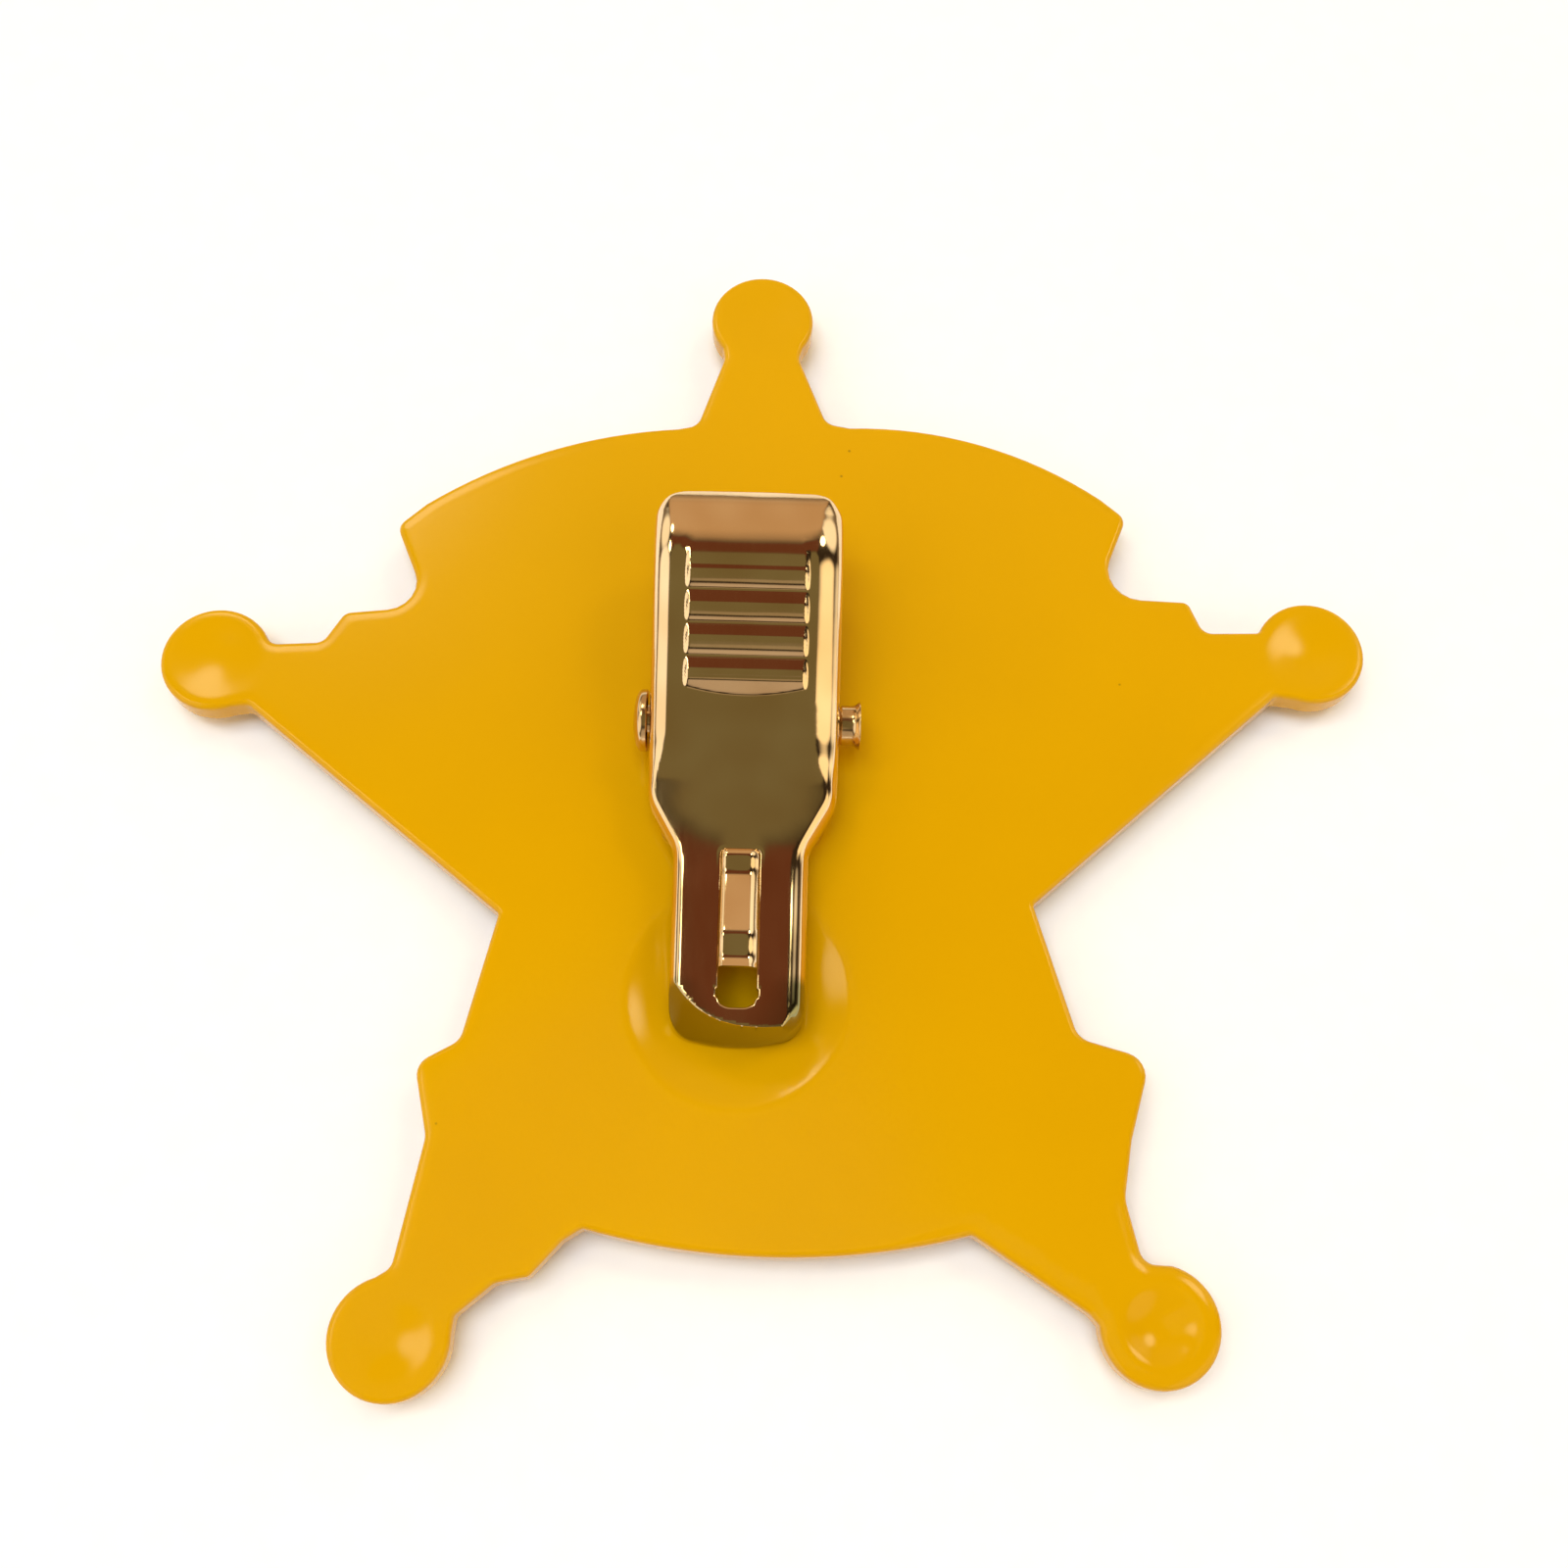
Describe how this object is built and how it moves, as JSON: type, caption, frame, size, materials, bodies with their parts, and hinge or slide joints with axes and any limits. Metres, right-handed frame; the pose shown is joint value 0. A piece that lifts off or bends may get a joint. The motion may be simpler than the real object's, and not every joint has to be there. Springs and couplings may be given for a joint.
{
  "type": "sheriff star badge with clip",
  "caption": "Moulded plastic star badge with ball points and bare ribbons, and a sprung metal clip on its back.",
  "frame": {"origin": "middle of the bare disc on the star's front, on the surface that the badge lies on", "axes": "+Z out of the back, +Y towards the top ball, +X to the right as the back is seen"},
  "size_m": [0.0722, 0.069, 0.0119],
  "materials": {
    "yellow_plastic": "glossy moulded",
    "clip_plating": "polished pale gold plating",
    "rivet_plating": "polished pale gold plating",
    "spring_wire": "drawn wire"
  },
  "bodies": {
    "badge": {"star_body": "yellow_plastic", "clip_base": "clip_plating", "rivet": "rivet_plating", "spring": "spring_wire"},
    "lever": {"clip_lever": "clip_plating"}
  },
  "joints": [
    {"name": "lever_hinge", "type": "hinge", "parent": "badge", "child": "lever", "pos_m": [-0.00143, 0.0053, 0.0062], "axis": [-0.9994, 0.0349, 0], "range_deg": [0, 25], "stiffness_Nm_per_rad": 0.12, "springref_deg": -22.92, "deforming": ["spring"]}
  ]
}
